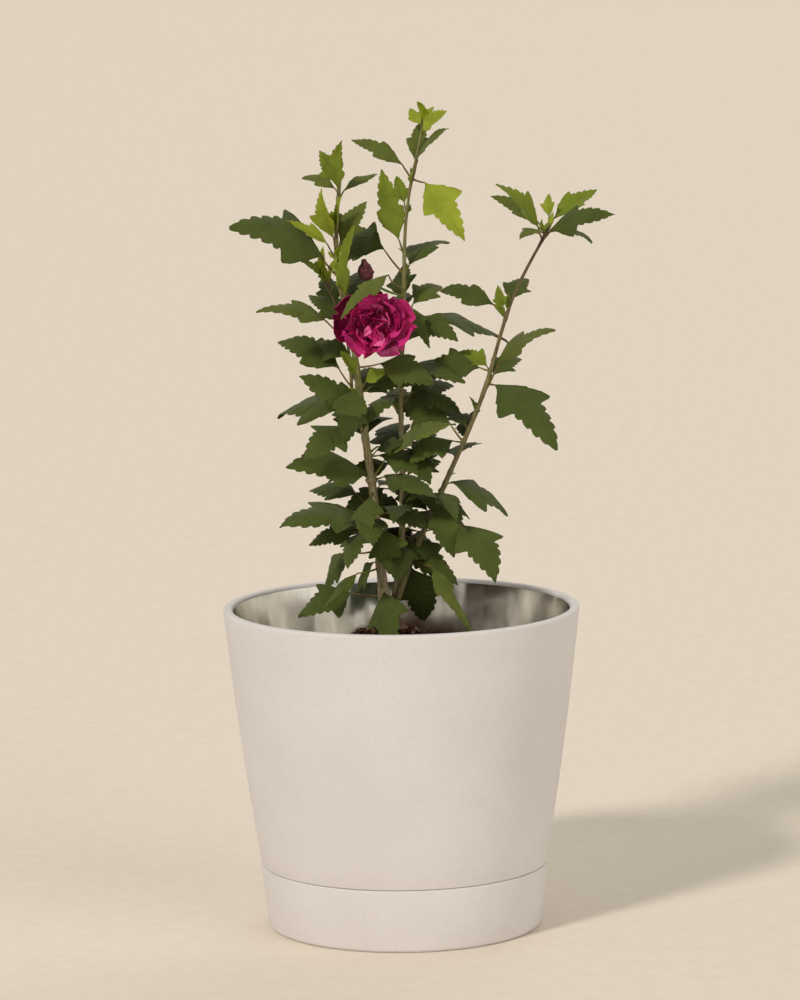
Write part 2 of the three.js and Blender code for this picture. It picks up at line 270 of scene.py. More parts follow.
def soil_top(x, y):
    """Height of the compost at a place, with its lumps, all in millimetres."""
    reach = (Vector((x, y)) - STEM_FOOT).length
    mound = MOUND_RISE * (1 - smooth_step(reach, MOUND_CREST, MOUND_FOOT))
    edge = 1 - smooth_step(math.hypot(x, y), 122, 134)
    lumps = 2.2 * noise.noise(Vector((x, y, 3)) / 13) + 1.2 * noise.noise(Vector((x, y, 9)) / 4.5)
    crest = smooth_step(reach, 8, 24)
    return BED_TOP + mound - 1.2 + lumps * edge * (0.25 + 0.75 * crest)


class Heap:
    """Many small surfaces gathered into one mesh."""

    def __init__(self):
        self.points = []
        self.faces = []
        self.slots = []
        self.count = 0

    def add(self, points, faces, slot=0):
        self.points.append(np.asarray(points, float))
        self.faces.extend([[corner + self.count for corner in face] for face in faces])
        self.slots.extend(slot if isinstance(slot, list) else [slot] * len(faces))
        self.count += len(points)

    def build(self, name, *looks):
        mesh = bpy.data.meshes.new(name)
        mesh.from_pydata((np.concatenate(self.points) * MM).tolist(), [], self.faces)
        for look in looks:
            mesh.materials.append(look)
        mesh.polygons.foreach_set("material_index", self.slots)
        piece = bpy.data.objects.new(name, mesh)
        bpy.context.collection.objects.link(piece)
        bpy.ops.object.select_all(action="DESELECT")
        piece.select_set(True)
        bpy.context.view_layer.objects.active = piece
        bpy.ops.object.shade_smooth_by_angle(angle=math.radians(50))
        return piece


soil_profile = [(radius, BED_TOP) for radius in np.linspace(wall_inside(BED_TOP) - 0.4, 4, 46)]
soil = begin_turning("potting_mix", wall_inside(FLOOR_TOP) - 0.6, FLOOR_TOP + 0.4)
pull([(wall_inside(FLOOR_TOP) - 0.6, FLOOR_TOP + 0.4), *soil_profile])
bpy.ops.mesh.poke()
end_turning(soil)
for corner in soil.data.vertices:
    if corner.co.z > (BED_TOP - 1) * MM:
        corner.co.z = soil_top(corner.co.x / MM, corner.co.y / MM) * MM

compost, shade = new_material("compost", Base_Color=paint(52, 34, 20), Roughness=0.95, Specular_IOR_Level=0.2)
crumbs = shade.grain(330, 4).ramp(0.35, 0.7)
damp = shade.grain(40, 3).ramp(0.3, 0.7)
wire(compost, Base_Color=crumbs.mix(damp.mix(paint(30, 20, 13), paint(46, 30, 18)), paint(88, 60, 38)),
     Roughness=0.85 + 0.15 * crumbs, relief=(shade.grain(420, 4) + 0.7 * crumbs, 0.002))
soil.data.materials.append(compost)
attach(soil, "root")
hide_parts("soil")

bark_chip, shade = new_material("bark_chip", Base_Color=paint(104, 62, 38), Roughness=0.85)
fleck = shade.grain(240, 3).ramp(0.35, 0.7)
wire(bark_chip, Base_Color=fleck.mix(paint(70, 40, 25), paint(138, 88, 54)),
     relief=(shade.grain(500, 3), 0.0006))
pale_grit, shade = new_material("pale_grit", Base_Color=paint(190, 180, 160), Roughness=0.9)
fleck = shade.grain(300, 2).ramp(0.3, 0.7)
wire(pale_grit, Base_Color=fleck.mix(paint(150, 138, 118), paint(206, 197, 178)))
dry_fibre, shade = new_material("dry_fibre", Base_Color=paint(150, 118, 78), Roughness=0.9)
fleck = shade.grain(150, 2).ramp(0.3, 0.7)
wire(dry_fibre, Base_Color=fleck.mix(paint(112, 82, 52), paint(172, 140, 96)))

bpy.ops.object.select_all(action="DESELECT")
bpy.ops.mesh.primitive_ico_sphere_add(subdivisions=1, radius=1)
lump = bpy.context.object
lump_points = np.array([corner.co for corner in lump.data.vertices])
lump_faces = [list(face.vertices) for face in lump.data.polygons]
bpy.data.objects.remove(lump)


def turned_about(axis, angle):
    """The matrix that turns about an axis by an angle."""
    x, y, z = np.asarray(axis, float) / np.linalg.norm(axis)
    cross = np.array([[0, -z, y], [z, 0, -x], [-y, x, 0]])
    return np.eye(3) + math.sin(angle) * cross + (1 - math.cos(angle)) * cross @ cross


def round_line(points, radii, sides):
    """A closed round limb along points, with a radius at each."""
    points = np.asarray(points, float)
    ahead = np.gradient(points, axis=0)
    ahead /= np.linalg.norm(ahead, axis=1)[:, None]
    guide = np.eye(3)[np.argmin(np.abs(points[-1] - points[0]))]
    side = guide - ahead * (ahead @ guide)[:, None]
    side /= np.linalg.norm(side, axis=1)[:, None]
    up = np.cross(ahead, side)
    turn = np.linspace(0, 2 * math.pi, sides, endpoint=False)
    ring = np.cos(turn)[None, :, None] * side[:, None] + np.sin(turn)[None, :, None] * up[:, None]
    radii = np.broadcast_to(np.asarray(radii, float).reshape(len(points), -1), (len(points), sides))
    corners = (points[:, None] + ring * radii[:, :, None]).reshape(-1, 3)
    faces = []
    for start in range(0, (len(points) - 1) * sides, sides):
        for j in range(sides):
            beside = (j + 1) % sides
            faces.append([start + j, start + beside, start + sides + beside, start + sides + j])
    faces.append(list(range(sides))[::-1])
    faces.append([(len(points) - 1) * sides + j for j in range(sides)])
    return corners, faces


draw = random.Random(7)
chips, grit, fibres = Heap(), Heap(), Heap()
for number in range(CHIP_COUNT):
    reach = 126 * math.sqrt(draw.random())
    bearing = draw.uniform(0, 2 * math.pi)
    x, y = reach * math.cos(bearing), reach * math.sin(bearing)
    is_grit = number % 5 == 0
    size = draw.uniform(0.9, 1.8) if is_grit else draw.uniform(1.8, 5.5)
    spread = (1, 0.8, 0.7) if is_grit else (1, draw.uniform(0.4, 0.7), draw.uniform(0.16, 0.3))
    uneven = np.array([[1 + draw.uniform(-0.22, 0.22)] for _ in lump_points])
    spin = turned_about((0, 0, 1), draw.uniform(0, 6.3))
    tip = turned_about((1, draw.random(), 0), draw.uniform(-0.6, 0.6))
    points = (lump_points * uneven * spread * size) @ (spin @ tip).T + (x, y, soil_top(x, y) + 0.25 * size)
    (grit if is_grit else chips).add(points, lump_faces)
for _ in range(FIBRE_COUNT):
    reach = 120 * math.sqrt(draw.random())
    bearing = draw.uniform(0, 2 * math.pi)
    x, y = reach * math.cos(bearing), reach * math.sin(bearing)
    course, length, hop = draw.uniform(0, 6.3), draw.uniform(10, 26), draw.uniform(0.5, 3)
    path = []
    for share in np.linspace(0, 1, 7):
        fx = x + math.cos(course) * length * share + 1.5 * math.sin(4 * share + course)
        fy = y + math.sin(course) * length * share
        path.append((fx, fy, soil_top(fx, fy) + 0.5 + hop * math.sin(math.pi * share)))
    if math.hypot(*path[-1][:2]) < 128:
        fibres.add(*round_line(path, [0.28] * 7, 5))
for heap, name, look in ((chips, "bark_chips", bark_chip), (grit, "pale_grit", pale_grit),
                         (fibres, "dry_fibres", dry_fibre)):
    piece = heap.build(name, look)
    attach(piece, "root")

# ---- Woody stems ----
# Three stems rise from one short woody foot, and the left one forks. The bark is pale
# and fissured low down, browner and smoother above, with swollen joints at the leaves.
STEMS = {
    "left": dict(foot=4.6, tip=1.3, route=[(-14, -2, 274), (-22, -7, 365), (-30, -11, 430), (-36, -12, 485),
                                           (-50, -9, 565), (-46, -5, 642)]),
    "middle": dict(foot=3, tip=1, route=[(-6, 5, 274), (1, 9, 325), (2, 13, 443), (5, 14, 530), (9, 12, 605),
                                         (24, 9, 678)]),
    "right": dict(foot=2.8, tip=1.1, route=[(-3, 0, 278), (12, 3, 317), (38, 0, 375), (69, -6, 447),
                                            (96, -13, 532), (127, -18, 592)]),
    "twig": dict(foot=1.8, tip=0.9, route=[(-28, -10, 414), (-38, -6, 446), (-40, -4, 475), (-45, -2, 510),
                                           (-61, -4, 548)]),
}
# Each leaf: height on the stem, bearing, rise of the blade, length of the blade and of
# its stalk, tone, and then the slimness and the turn about the midrib where they differ.
SPRAYS = {
    "left_skirt": ("left", [(285, 280, -50, 60, 5, "dark"), (280, 200, -20, 50, 30, "dark", 1.15, -35),
        (305, 220, -35, 50, 25, "dark", 0.5), (310, 125, -50, 40, 10, "dark")]),
    "left_base": ("left", [(340, 205, 0, 80, 10, "dark"), (340, 245, -35, 45, 20, "dark"),
        (320, 135, -50, 50, 35, "dark"), (340, 310, -60, 50, 5, "dark"), (330, 70, -20, 60, 20, "deep")]),
    "left_low": ("left", [(355, 145, 0, 50, 20, "deep"), (380, 205, 10, 75, 5, "dark"),
        (380, 320, -15, 60, 15, "dark"), (380, 335, 25, 70, 25, "mid", 0.8)]),
    "left_centre": ("left", [(400, 95, 15, 65, 20, "deep"), (435, 145, -10, 75, 15, "dark"),
        (425, 225, -25, 55, 20, "dark"), (415, 180, 35, 20, 10, "bright"), (425, 185, 35, 60, 10, "dark")]),
    "left_waist": ("left", [(450, 155, 20, 60, 30, "dark"), (460, 210, 55, 25, 10, "bright"),
        (475, 345, -20, 50, 20, "dark"), (460, 255, -50, 50, 10, "dark")]),
    "left_middle": ("left", [(495, 205, 10, 65, 30, "mid", 0.65), (505, 80, 20, 55, 15, "deep")]),
    "left_upper": ("left", [(550, 195, 20, 85, 20, "dark"), (525, 290, 70, 65, 10, "bright", 0.45),
        (545, 60, 30, 50, 20, "deep")]),
    "left_shoots": ("left", [(565, 250, 60, 50, 20, "young", 0.65), (565, 185, 30, 40, 15, "young", 0.5),
        (580, 285, 60, 35, 10, "young", 0.6), (570, 10, 55, 40, 10, "mid")]),
    "left_tip": ("left", [(615, 280, 65, 45, 10, "bright", 0.7), (620, 135, 10, 40, 5, "mid", 0.5),
        (615, 45, 15, 40, 10, "mid", 0.5), (625, 200, 60, 30, 5, "bright")]),
    "twig_tip": ("twig", [(545, 210, 35, 30, 5, "bright", 0.7), (535, 125, 50, 20, 10, "young"),
        (520, 110, 25, 40, 10, "dark")]),
    "middle_base": ("middle", [(325, 50, -30, 50, 5, "deep"), (325, 270, -35, 40, 15, "deep"),
        (305, 65, -60, 60, 20, "deep"), (315, 310, -45, 70, 40, "mid", 0.35)]),
    "middle_low": ("middle", [(380, 50, 5, 45, 5, "deep"), (345, 300, 40, 35, 10, "deep"),
        (390, 100, 10, 55, 20, "deep"), (360, 350, -20, 50, 10, "dark")]),
    "middle_heart": ("middle", [(430, 130, 15, 50, 25, "deep"), (475, 80, 15, 55, 20, "deep"),
        (470, 320, -10, 60, 10, "dark")]),
    "middle_flank": ("middle", [(520, 85, 40, 40, 10, "dark"), (510, 50, 15, 40, 20, "mid"),
        (525, 300, -40, 50, 5, "dark", 0.5), (510, 20, -20, 80, 20, "dark", 0.8)]),
    "middle_upper": ("middle", [(565, 150, 75, 60, 15, "bright", 0.8), (550, 135, 10, 50, 30, "dark"),
        (600, 120, 60, 25, 10, "bright"), (550, 50, 15, 55, 10, "dark")]),
    "middle_crown": ("middle", [(625, 320, 40, 45, 20, "mid"), (640, 70, 60, 40, 5, "mid", 0.8),
        (630, 145, 20, 55, 15, "mid", 0.5), (630, 315, -45, 65, 15, "young", 0.75)]),
    "middle_tip": ("middle", [(670, 125, 40, 20, 5, "young"), (665, 325, 35, 30, 5, "young"),
        (675, 250, 50, 20, 5, "young"), (670, 50, 45, 20, 5, "young")]),
    "right_low": ("right", [(375, 30, -30, 65, 5, "dark"), (365, 285, -55, 55, 10, "dark"),
        (350, 305, -40, 65, 40, "dark"), (385, 75, 0, 55, 20, "deep")]),
    "right_heart": ("right", [(435, 100, -35, 45, 10, "deep"), (410, 150, 20, 55, 20, "dark")]),
    "right_flank": ("right", [(455, 335, 30, 60, 25, "mid", 0.9),
        (450, 50, 15, 40, 20, "dark"), (460, 315, -35, 85, 10, "dark", 0.9),
        (470, 175, -10, 50, 10, "dark")]),
    "right_upper": ("right", [(515, 145, 10, 55, 15, "dark", 0.6), (515, 230, 70, 20, 10, "bright"),
        (520, 60, 25, 35, 10, "dark")]),
    "right_tip": ("right", [(580, 205, 45, 55, 10, "bright", 0.9), (585, 150, 25, 50, 10, "mid", 0.55),
        (590, 85, 65, 20, 10, "young"), (585, 35, 25, 50, 15, "bright", 0.6),
        (580, 335, 15, 60, 10, "dark", 0.6), (585, 35, -15, 45, 5, "dark", 0.6)]),
}


# More leaves, with the stem first, and then, for each stem, the heights between which small
# ones fill in and how many there are.
MORE_LEAVES = [
    ("left", 400, 350, -25, 45, 10, "dark"), ("left", 350, 350, -20, 40, 10, "deep"),
    ("left", 370, 265, -50, 45, 15, "dark"), ("left", 505, 150, 30, 40, 10, "dark"),
    ("middle", 450, 350, -25, 45, 10, "deep"), ("middle", 405, 300, -35, 45, 10, "deep"),
    ("middle", 505, 330, -15, 45, 10, "dark"), ("middle", 350, 20, -35, 40, 15, "dark"),
    ("middle", 330, 350, -50, 50, 10, "deep"), ("middle", 490, 200, 5, 45, 10, "dark"),
    ("right", 350, 40, -40, 40, 10, "deep"), ("left", 330, 180, -15, 40, 20, "dark"),
    ("middle", 370, 190, -30, 40, 15, "deep"), ("right", 410, 210, -20, 45, 10, "dark"),
    ("left", 455, 335, 25, 25, 10, "bright"), ("right", 470, 145, 20, 30, 5, "bright"),
    ("right", 420, 125, 15, 35, 5, "deep"), ("twig", 540, 310, 60, 20, 10, "young"),
    ("middle", 440, 40, 5, 50, 10, "deep"), ("right", 585, 235, -10, 30, 10, "mid"),
    ("twig", 548, 270, 80, 25, 4, "young", 0.7), ("left", 560, 285, 35, 20, 8, "young", 0.8),
    ("left", 585, 230, 45, 25, 8, "young", 0.6), ("left", 540, 250, 45, 20, 8, "young", 0.8),
]
FILLERS = (("left", 300, 520, 12), ("middle", 310, 560, 14), ("right", 330, 370, 3))
DEEPER = 20  # how much longer a leaf grows where it points to the front or the back


def flow(route, steps=26):
    """A smooth line through a route's points, easing by the gaps between them."""
    route = np.array(route, float)
    points = np.vstack([2 * route[0] - route[1], route, 2 * route[-1] - route[-2]])
    line = []
    for a, b, c, d in zip(points, points[1:], points[2:], points[3:]):
        before, here, after = (math.sqrt(np.linalg.norm(q - p)) for p, q in ((a, b), (b, c), (c, d)))
        leave = ((b - a) / before - (c - a) / (before + here) + (c - b) / here) * here
        arrive = ((c - b) / here - (d - b) / (here + after) + (d - c) / after) * here
        for t in np.arange(steps) / steps:
            line.append(b + leave * t + (3 * (c - b) - 2 * leave - arrive) * t ** 2
                        + (2 * (b - c) + leave + arrive) * t ** 3)
    return np.array([*line, route[-1]])


def on_stem(name, height):
    """The point of a stem's middle line at a height."""
    line = STEMS[name]["line"]
    return np.array([np.interp(height, line[:, 2], line[:, axis]) for axis in range(3)])


for stem in STEMS.values():
    stem["line"] = flow(stem["route"])
    bottom, top = stem["line"][0, 2], stem["line"][-1, 2]
    share = np.clip((stem["line"][:, 2] - bottom) / (top - bottom), 0, 1)
    stem["radius"] = stem["foot"] + (stem["tip"] - stem["foot"]) * share ** 0.8



def rising_from(shade, low, high):
    """Goes from 0 to 1 between two heights, in metres."""
    place = shade.add("ShaderNodeTexCoord", output=3)
    return shade.add("ShaderNodeSeparateXYZ", output=2, Vector=place).ramp(low, high)


pale_bark, shade = new_material("pale_bark", Base_Color=paint(158, 138, 110), Roughness=0.8)
streak = shade.grain(420, 4, (1, 1, 0.12)).ramp(0.35, 0.68)
spot = shade.grain(260, 2, (1, 1, 0.6)).ramp(0.6, 0.72)
rising = rising_from(shade, 0.33, 0.46)
low_bark = streak.mix(paint(128, 114, 86), paint(184, 170, 138))
high_bark = streak.mix(paint(92, 88, 50), paint(142, 140, 92))
wire(pale_bark, Base_Color=(spot * 0.5).mix(rising.mix(low_bark, high_bark), paint(84, 66, 46)),
     Roughness=0.7 + 0.2 * streak, relief=(streak + 0.5 * spot, 0.0004))
brown_bark, shade = new_material("brown_bark", Base_Color=paint(98, 76, 54), Roughness=0.7)
streak = shade.grain(480, 4, (1, 1, 0.12)).ramp(0.35, 0.68)
rising = rising_from(shade, 0.46, 0.58)
low_bark = streak.mix(paint(92, 84, 52), paint(134, 126, 86))
high_bark = streak.mix(paint(62, 48, 32), paint(98, 78, 52))
wire(brown_bark, Base_Color=rising.mix(low_bark, high_bark), Roughness=0.6 + 0.2 * streak,
     relief=(streak, 0.0003))

BARK_SIDES = 20
for name, stem in STEMS.items():
    line = stem["line"]
    lengths = np.concatenate([[0], np.cumsum(np.linalg.norm(np.diff(line, axis=0), axis=1))])
    along = np.arange(0, lengths[-1], 1.4)
    line = np.array([np.interp(along, lengths, line[:, axis]) for axis in range(3)]).T
    radius = np.interp(along, lengths, stem["radius"])
    for spray_stem, leaves in SPRAYS.values():
        for height, *_ in leaves if spray_stem == name else ():
            radius *= 1 + 0.16 * np.exp(-((line[:, 2] - height) / 2.6) ** 2)
    relief = np.empty((len(along), BARK_SIDES))
    for i, place in enumerate(along):
        for j in range(BARK_SIDES):
            turn = 2 * math.pi * j / BARK_SIDES
            ridge = noise.noise(Vector((3 * math.cos(turn), 3 * math.sin(turn), place / 22)))
            wart = max(0, noise.noise(Vector((2 * math.cos(turn), 2 * math.sin(turn), place / 3.2))) - 0.25)
            relief[i, j] = 1 + 0.07 * ridge + 0.16 * wart
    bark = Heap()
    bark.add(*round_line(line, radius[:, None] * relief, BARK_SIDES))
    look = pale_bark if name in ("left", "middle") else brown_bark
    piece = bark.build(f"bark_{name}", look)
    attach(piece, "root")
    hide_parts(f"stem_{name}")

# ---- Woody foot ----
# The old pruned base that the stems spring from, flaring to the compost with low root
# shoulders. It is cracked and darker than the stems, with a knuckle under each of them.
FOOT_TOP = 280
FOOT_RADIUS = 7
FOOT_FLARE = 6
FOOT_SIDES = 40
GROUND = BED_TOP + MOUND_RISE + GAP
foot_heights = np.linspace(GROUND, FOOT_TOP, 15)
foot_shape = np.empty((len(foot_heights), FOOT_SIDES))
for i, height in enumerate(foot_heights):
    share = (height - GROUND) / (FOOT_TOP - GROUND)
    flare = FOOT_RADIUS + FOOT_FLARE * (1 - share) ** 3
    for j in range(FOOT_SIDES):
        turn = 2 * math.pi * j / FOOT_SIDES
        shoulder = 1 + 0.25 * math.sin(3 * turn + 1) * (1 - share) ** 3
        crack = 0.1 * noise.noise(Vector((4 * math.cos(turn), 4 * math.sin(turn), height / 9)))
        knuckle = 0.08 * math.sin(3 * turn) * share
        dome = math.sqrt(max(0.05, 1 - max(0, (share - 0.82) / 0.19) ** 2))
        foot_shape[i, j] = flare * shoulder * (1 + crack + knuckle) * dome
foot_line = [(STEM_FOOT.x, STEM_FOOT.y, height) for height in foot_heights]
old_wood = Heap()
old_wood.add(*round_line(foot_line, foot_shape, FOOT_SIDES))
old_bark, shade = new_material("old_bark", Base_Color=paint(112, 92, 68), Roughness=0.9)
crack = shade.grain(300, 5, (1, 1, 0.3)).ramp(0.3, 0.7)
wire(old_bark, Base_Color=crack.mix(paint(62, 46, 32), paint(150, 130, 102)), relief=(crack, 0.001))
foot = old_wood.build("bark_foot", old_bark)
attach(foot, "root")
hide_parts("foot")

# ---- Leaves and their stalks ----
# Three-lobed leaves with coarse teeth and palmate veins, on thin stalks, set singly up
# the stems. Old leaves are dark and flat, young ones small, folded and yellow-green. The
# deep and dark tones also carry painted shade inside the crown, and the bright tone
# carries painted light shining through the leaf.
LIGHT = np.array([-0.2, -0.6, 0.8])
STALK_LIFT = 30
LEAF_THICKNESS = 0.35
# One half of the margin, along and across as shares of the length, tooth by tooth.
MARGIN = np.array([
    (0, 0.004), (0.08, 0.045), (0.17, 0.13), (0.24, 0.21), (0.262, 0.203), (0.34, 0.295), (0.405, 0.335),
    (0.435, 0.31), (0.447, 0.25), (0.462, 0.198), (0.487, 0.18), (0.53, 0.206), (0.575, 0.202),
    (0.588, 0.164), (0.64, 0.182), (0.692, 0.172), (0.704, 0.132), (0.76, 0.144), (0.802, 0.13),
    (0.812, 0.09), (0.865, 0.09), (0.902, 0.074), (0.912, 0.047), (0.955, 0.03), (1, 0.003)])
VEINS = (3, 6, 11, 14, 17)  # the teeth that a side vein runs to
VEIN_HALF = 0.1
COLUMNS = np.array([-1, -0.76, -0.5, -0.25, -0.022, 0.022, 0.25, 0.5, 0.76, 1])
rows = sorted([k for k in range(len(MARGIN)) if k not in VEINS] + [k + 0.5 for k in range(8)]
              + [k + side * VEIN_HALF for k in VEINS for side in (-1, 1)])
rows = np.array(rows, float)
margin_along = np.interp(rows, range(len(MARGIN)), MARGIN[:, 0])
margin_across = np.interp(rows, range(len(MARGIN)), MARGIN[:, 1])
vein_start = np.maximum.accumulate(np.maximum(0, margin_along - 0.95 * margin_across))
vein_start = vein_start + np.linspace(0, 1, len(rows)) * 0.002
between = np.array([min(1, 2.2 * min(abs(row - k) for k in (0, *VEINS, len(MARGIN) - 1))) for row in rows])


def unit(vector):
    return vector / np.linalg.norm(vector)


def heading(bearing, rise):
    turn, lift = math.radians(bearing), math.radians(rise)
    return np.array([math.cos(turn) * math.cos(lift), math.sin(turn) * math.cos(lift), math.sin(lift)])


leaf_rows, leaf_columns = len(rows), len(COLUMNS)
upper = [[corner, corner + leaf_columns, corner + leaf_columns + 1, corner + 1]
         for i in range(leaf_rows - 1) for corner in range(i * leaf_columns, (i + 1) * leaf_columns - 1)]
is_vein = [1 if j == (leaf_columns - 2) // 2 or any(abs(rows[i] + VEIN_HALF - k) < 1e-6 for k in VEINS) else 0
           for i in range(leaf_rows - 1) for j in range(leaf_columns - 1)]
leaf_size = leaf_rows * leaf_columns
lower = [[corner + leaf_size for corner in face[::-1]] for face in upper]
outline = ([i * leaf_columns for i in range(leaf_rows)]
           + [(leaf_rows - 1) * leaf_columns + j for j in range(1, leaf_columns)]
           + [i * leaf_columns + leaf_columns - 1 for i in range(leaf_rows - 2, -1, -1)]
           + list(range(leaf_columns - 2, 0, -1)))
edge = [[a, a + leaf_size, b + leaf_size, b] for a, b in zip(outline, outline[1:] + outline[:1])]
leaf_faces = upper + lower + edge
leaf_slots = is_vein + [2] * (len(lower) + len(edge))


def blade(foot, along, length, draw, slim=1.0, turn=0.0, fold=-0.1, arch=0.12, ripple=0.02):
    """The corners of one leaf, from its foot along its midrib, facing the light."""
    facing = turned_about(along, math.radians(turn)) @ unit(LIGHT - along * (LIGHT @ along))
    across = np.cross(along, facing)
    reach = np.abs(COLUMNS)[None, :]
    x = vein_start[:, None] * (1 - reach) + margin_along[:, None] * reach
    lobe = np.exp(-((margin_along - 0.4) / 0.09) ** 2)
    x = x + draw.uniform(0, 0.1) * lobe[:, None] * reach
    lobes = 1 + draw.uniform(-0.25, 0.1) * lobe + draw.uniform(-0.04, 0.14)
    width = margin_across * slim * lobes
    lean = np.where(COLUMNS > 0, 1 + draw.uniform(-0.1, 0.1), 1)
    y = width[:, None] * (COLUMNS * lean)[None, :]
    phase = np.where(COLUMNS > 0, draw.uniform(0, 6.3), draw.uniform(0, 6.3))[None, :]
    quilt = 0.012 * between[:, None] * np.sin(math.pi * np.minimum(1, reach * 1.05)) * slim
    wave = ripple * reach ** 2 * np.sin(9 * x + phase)
    z = fold * np.abs(y) + quilt + wave
    sway = draw.uniform(-0.5, 0.5) * x
    y, z = y * np.cos(sway) - z * np.sin(sway), z * np.cos(sway) + y * np.sin(sway)
    y = y + draw.uniform(-0.05, 0.05) * np.sin(math.pi * x)
    # The midrib is an arc that ends where a straight one of this length would.
    bend = 8 * arch * draw.uniform(0.8, 1.2)
    slope = bend * (0.5 - x)
    along_arc = (np.sin(bend / 2) - np.sin(slope)) / (2 * np.sin(bend / 2)) + z * -np.sin(slope)
    above_arc = (np.cos(slope) - np.cos(bend / 2)) / (2 * np.sin(bend / 2)) + z * np.cos(slope)
    shape = along_arc[..., None] * along + y[..., None] * across + above_arc[..., None] * facing
    top = foot + length * shape
    normal = np.cross(np.gradient(top, axis=0), np.gradient(top, axis=1))
    normal /= np.maximum(1e-9, np.linalg.norm(normal, axis=2, keepdims=True))
    return np.vstack([top.reshape(-1, 3), (top - normal * LEAF_THICKNESS).reshape(-1, 3)])


def green(name, top, vein, under, roughness=0.52):
    """Three plain leaf greens: the upper face, its veins and the underside."""
    looks = []
    for part, colour in (("", top), ("_vein", vein), ("_under", under)):
        look, shade = new_material(name + part, Base_Color=paint(*colour), Roughness=roughness,
                                   Specular_IOR_Level=0.12)
        mottle = shade.grain(55, 3).ramp(0.3, 0.7)
        dark = paint(*(0.92 * channel for channel in colour))
        light = paint(*(1.07 * channel for channel in colour))
        wire(look, Base_Color=mottle.mix(dark, light), Roughness=roughness + 0.14 * mottle - 0.07,
             relief=(shade.grain(1300, 3), 0.00012))
        looks.append(look)
    return looks


# Leaf tones: deep and dark are partly painted shade, for leaves in the crown's shade, and bright is partly
# painted light shining through lit leaves; the rest is the leaves' own colour by age.
TONES = {
    "deep": green("leaf_deep", (38, 48, 16), (50, 62, 25), (60, 69, 32)),
    "dark": green("leaf_dark", (48, 58, 19), (64, 76, 31), (72, 82, 38)),
    "mid": green("leaf_mid", (62, 75, 23), (82, 97, 39), (88, 97, 44)),
    "bright": green("leaf_bright", (84, 110, 14), (108, 132, 34), (110, 124, 42)),
    "young": green("leaf_young", (126, 148, 26), (152, 170, 52), (136, 146, 48)),
}
HABIT = {  # the fold of the blade, its arch and its edge ripple, by tone
    "deep": (-0.1, 0.12, 0.02), "dark": (-0.15, 0.13, 0.022), "mid": (-0.08, 0.12, 0.02),
    "bright": (0.3, 0.07, 0.018), "young": (0.45, 0.05, 0.015),
}

leaf_heaps = {tone: Heap() for tone in TONES}
stalks = Heap()
draw = random.Random(23)


def grow_leaf(stem, height, bearing, rise, length, stalk, tone, slim=1.0, turn=0.0, foot=None):
    """Sets one leaf and its stalk on a stem, with a small sprout beside it here and there."""
    start = on_stem(stem, height)
    along = heading(bearing, rise)
    if foot is None:
        climb = min(70, max(-10, rise + STALK_LIFT))
        foot = start + heading(bearing, climb) * stalk
    foot = np.array(foot, float)
    fold, arch, ripple = HABIT[tone]
    turn = turn + draw.uniform(-16, 16)
    shape = blade(foot, along, length, draw, slim, turn, fold, arch, ripple)
    leaf_heaps[tone].add(shape, leaf_faces, leaf_slots)
    shares = np.linspace(0, 1, 7)[:, None]
    path = start + (foot - start) * shares + along * (0.06 * stalk * np.sin(math.pi * shares))
    rib = shape[leaf_size:leaf_size * 2].reshape(leaf_rows, leaf_columns, 3)[:, 4:6].mean(axis=1)
    path = np.vstack([path, rib[2]])
    stalks.add(*round_line(path, np.linspace(1, 0.5, 8) * (0.75 + length / 220), 7))
    if draw.random() < 0.45:
        sprout = heading(bearing + draw.uniform(-60, 60), draw.uniform(35, 70))
        shape = blade(start + sprout * 1.5, sprout, draw.uniform(7, 14), draw,
                      0.7, draw.uniform(-60, 60), 0.5)
        leaf_heaps["young" if tone == "young" else "bright"].add(shape, leaf_faces, leaf_slots)


masses = {tone: [] for tone in TONES}
for name, (stem, leaves) in SPRAYS.items():
    tones = [leaf[5] for leaf in leaves]
    masses[max(TONES, key=tones.count)].append(f"foliage_{name}")
    for leaf in leaves:
        grow_leaf(stem, *leaf)
for leaf in MORE_LEAVES:
    grow_leaf(*leaf)
# The leaf that hangs over the bloom's shoulder, on a long stalk that reaches forward.
grow_leaf("middle", 538, 214, -34, 58, 45, "mid", 0.55, -5, foot=(-7, -38, 554))
# Fill-in leaves inside the crown take the deep and dark tones, which carry painted shade.
for stem, low, high, count in FILLERS:
    for number in range(count):
        height = low + (high - low) * (number + draw.uniform(0.1, 0.9)) / count
        bearing = 137.5 * number + draw.uniform(-20, 20)
        if height < 455 or math.sin(math.radians(bearing)) > 0:
            length = draw.uniform(24, 42) + DEEPER * abs(math.sin(math.radians(bearing)))
            grow_leaf(stem, height, bearing, draw.uniform(-35, 30), length, draw.uniform(5, 14),
                      draw.choice(("deep", "dark", "dark")), draw.uniform(0.7, 1))

leaf_stalk, shade = new_material("leaf_stalk", Base_Color=paint(112, 92, 52), Roughness=0.6)
blush = shade.grain(38, 2).ramp(0.35, 0.65)
wire(leaf_stalk, Base_Color=blush.mix(paint(92, 62, 40), paint(118, 118, 52)),
     relief=(shade.grain(600, 2), 0.0002))
for tone, heap in leaf_heaps.items():
    piece = heap.build(f"leaves_{tone}", *TONES[tone])
    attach(piece, "root")
    if masses[tone]:
        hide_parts(*masses[tone])
piece = stalks.build("leaf_stalks", leaf_stalk)
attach(piece, "root")

# ---- Bloom ----
# One fully double magenta flower: a collar of broad petals round a heart of many short
# crumpled ones in a green cup on a short stalk. The petals carry painted shade, deep
# crimson where they crowd towards their feet, and painted highlights at their margins.
BLOOM_CENTRE = np.array([-19, -34, 512])
BLOOM_AXIS = unit(np.array([-0.1, -0.9, 0.42]))
BLOOM_STALK_HEIGHT = 488
PETAL_ROWS, PETAL_COLUMNS = 13, 17


